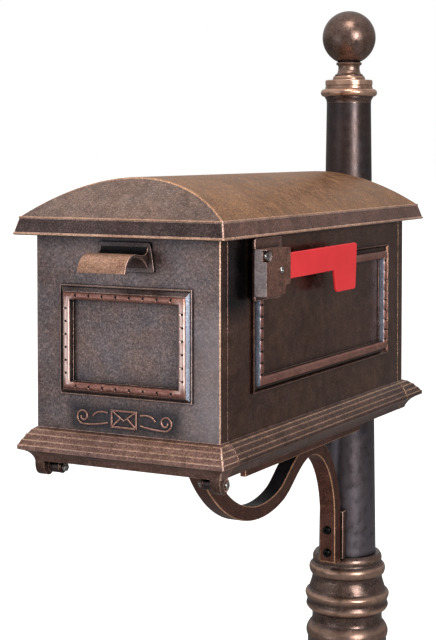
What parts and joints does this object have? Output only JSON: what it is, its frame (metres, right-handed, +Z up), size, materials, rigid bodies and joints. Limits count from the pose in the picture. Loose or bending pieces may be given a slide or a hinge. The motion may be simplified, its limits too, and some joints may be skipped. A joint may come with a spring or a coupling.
{
  "type": "kerbside mailbox on post",
  "caption": "Post-mounted kerbside mailbox: arched roof, drop-down front door with pull, red signal flag, scroll bracket, and a turned post with a ball finial.",
  "frame": {"origin": "on the ground at the centre of the post's base flange", "axes": "+Z up along the post, the mailbox and its door stand towards -Y, +X to the right when facing the door, on the flag's side"},
  "size_m": [0.266, 0.7462, 1.6045],
  "materials": {
    "casting_copper": "cast aluminium in a dark antique copper finish, satin, brushed lighter on raised edges",
    "roof_copper": "cast aluminium in a lighter golden antique copper finish, satin",
    "pale_copper": "cast aluminium with the copper finish rubbed bright, satin",
    "shaft_copper": "dark brown copper finish with a soft sheen",
    "flag_red": "bright red semi-gloss paint",
    "black_steel": "black oxide button-head steel",
    "stainless": "plain stainless steel",
    "magnet": "dark grey magnet block"
  },
  "bodies": {
    "post_and_box": {"ground_flange": "casting_copper", "post_cap": "casting_copper", "ball_finial": "casting_copper", "bracket_pad": "casting_copper", "scroll_bracket": "casting_copper", "mounting_channel": "casting_copper", "floor_plate": "casting_copper", "side_panel_left": "casting_copper", "side_panel_right": "casting_copper", "back_panel": "casting_copper", "flag_backplate": "casting_copper", "flag_spacer_front": "casting_copper", "flag_spacer_rear": "casting_copper", "flag_housing": "casting_copper", "lower_column": "pale_copper", "post_shaft": "shaft_copper", "roof": "roof_copper", "coupling_sleeve": "stainless", "leg_screw_upper": "black_steel", "leg_screw_lower": "black_steel", "scroll_bolt_front": "stainless", "flag_screw_front": "stainless", "scroll_bolt_rear": "stainless", "flag_screw_rear": "stainless", "box_bolt_front_left": "stainless", "box_nut_front_left": "stainless", "roof_screw_front_left": "stainless", "box_bolt_front_right": "stainless", "box_nut_front_right": "stainless", "roof_screw_front_right": "stainless", "box_bolt_rear_left": "stainless", "box_nut_rear_left": "stainless", "roof_screw_rear_left": "stainless", "box_bolt_rear_right": "stainless", "box_nut_rear_right": "stainless", "roof_screw_rear_right": "stainless", "back_screw_lower_left": "stainless", "back_screw_lower_right": "stainless", "back_screw_upper_left": "stainless", "back_screw_upper_right": "stainless", "hinge_bracket_left": "shaft_copper", "hinge_pin_left": "stainless", "hinge_washer_left": "pale_copper", "hinge_nut_left": "stainless", "hinge_screw_left": "stainless", "hinge_bracket_right": "shaft_copper", "hinge_pin_right": "stainless", "hinge_washer_right": "pale_copper", "hinge_nut_right": "stainless", "hinge_screw_right": "stainless", "housing_screw": "stainless", "flag_rivet": "stainless", "catch_magnet": "magnet"},
    "door": {"door_panel": "casting_copper", "door_handle": "pale_copper", "handle_screw_left": "stainless", "handle_screw_right": "stainless", "catch_strike": "stainless"},
    "flag": {"signal_flag": "flag_red"}
  },
  "joints": [
    {"name": "door_hinge", "type": "hinge", "parent": "post_and_box", "child": "door", "pos_m": [0, -0.571, 1.077], "axis": [1, 0, 0], "range_deg": [0, 95]},
    {"name": "flag_pivot", "type": "hinge", "parent": "post_and_box", "child": "flag", "pos_m": [0.1302, -0.495, 1.292], "axis": [1, 0, 0], "range_deg": [0, 90]}
  ]
}
